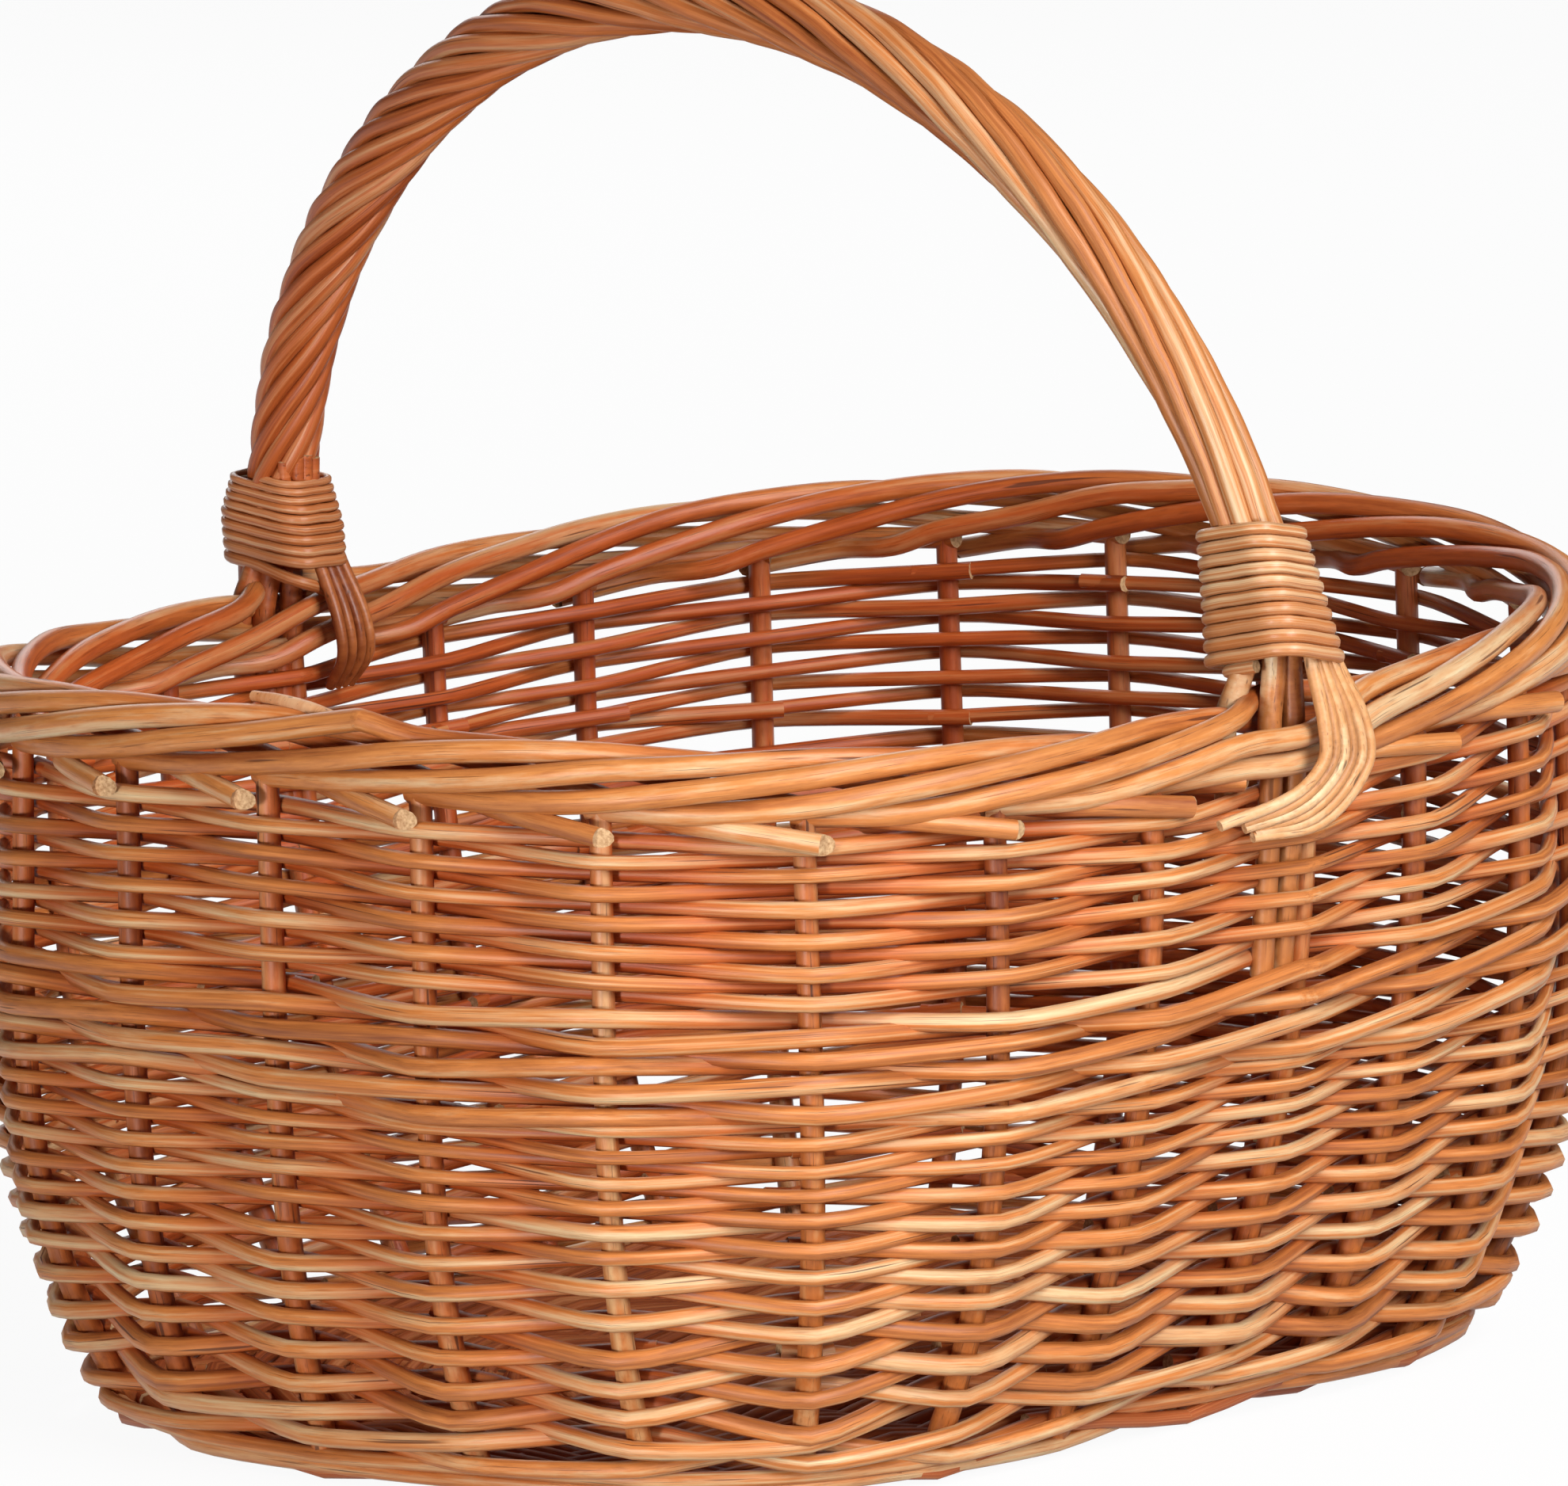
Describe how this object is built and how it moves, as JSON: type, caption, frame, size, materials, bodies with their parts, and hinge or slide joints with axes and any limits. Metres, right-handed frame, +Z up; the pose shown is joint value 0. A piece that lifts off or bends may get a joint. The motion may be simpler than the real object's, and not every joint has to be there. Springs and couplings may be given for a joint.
{
  "type": "wicker basket",
  "caption": "Oval woven willow basket with flared sides, a plaited rim border and a fixed twisted bow handle, for carrying shopping or produce.",
  "frame": {"origin": "on the table under the middle of the base", "axes": "+X along the basket's length towards the higher end, +Y across it in the handle's plane, +Z up"},
  "size_m": [0.4498, 0.4096, 0.4045],
  "materials": {
    "stake_willow": "satin, buff willow",
    "weave_willow": "satin, buff willow",
    "border_willow": "satin, buff willow",
    "handle_willow": "satin, buff willow",
    "binding_willow": "satin, buff willow",
    "base_willow": "satin, buff willow"
  },
  "bodies": {
    "root": {"stake_01": "stake_willow", "stake_02": "stake_willow", "stake_03": "stake_willow", "stake_04": "stake_willow", "stake_05": "stake_willow", "stake_06": "stake_willow", "stake_07": "stake_willow", "stake_08": "stake_willow", "stake_09": "stake_willow", "stake_10": "stake_willow", "stake_11": "stake_willow", "stake_12": "stake_willow", "stake_13": "stake_willow", "stake_14": "stake_willow", "stake_15": "stake_willow", "stake_16": "stake_willow", "stake_17": "stake_willow", "stake_18": "stake_willow", "stake_19": "stake_willow", "stake_20": "stake_willow", "stake_21": "stake_willow", "stake_22": "stake_willow", "stake_23": "stake_willow", "stake_24": "stake_willow", "upsett_wale": "weave_willow", "lower_randing": "weave_willow", "mid_wale": "weave_willow", "upper_randing": "weave_willow", "foot_rod": "weave_willow", "border_quarter_1": "border_willow", "border_quarter_2": "border_willow", "border_quarter_3": "border_willow", "border_quarter_4": "border_willow", "handle_bow": "handle_willow", "handle_strand_1": "handle_willow", "handle_strand_2": "handle_willow", "handle_strand_3": "handle_willow", "handle_strand_4": "handle_willow", "handle_strand_5": "handle_willow", "handle_strand_6": "handle_willow", "handle_bindings": "binding_willow", "base_long_sticks": "base_willow", "base_short_sticks": "base_willow", "base_weave": "base_willow"}
  },
  "joints": []
}
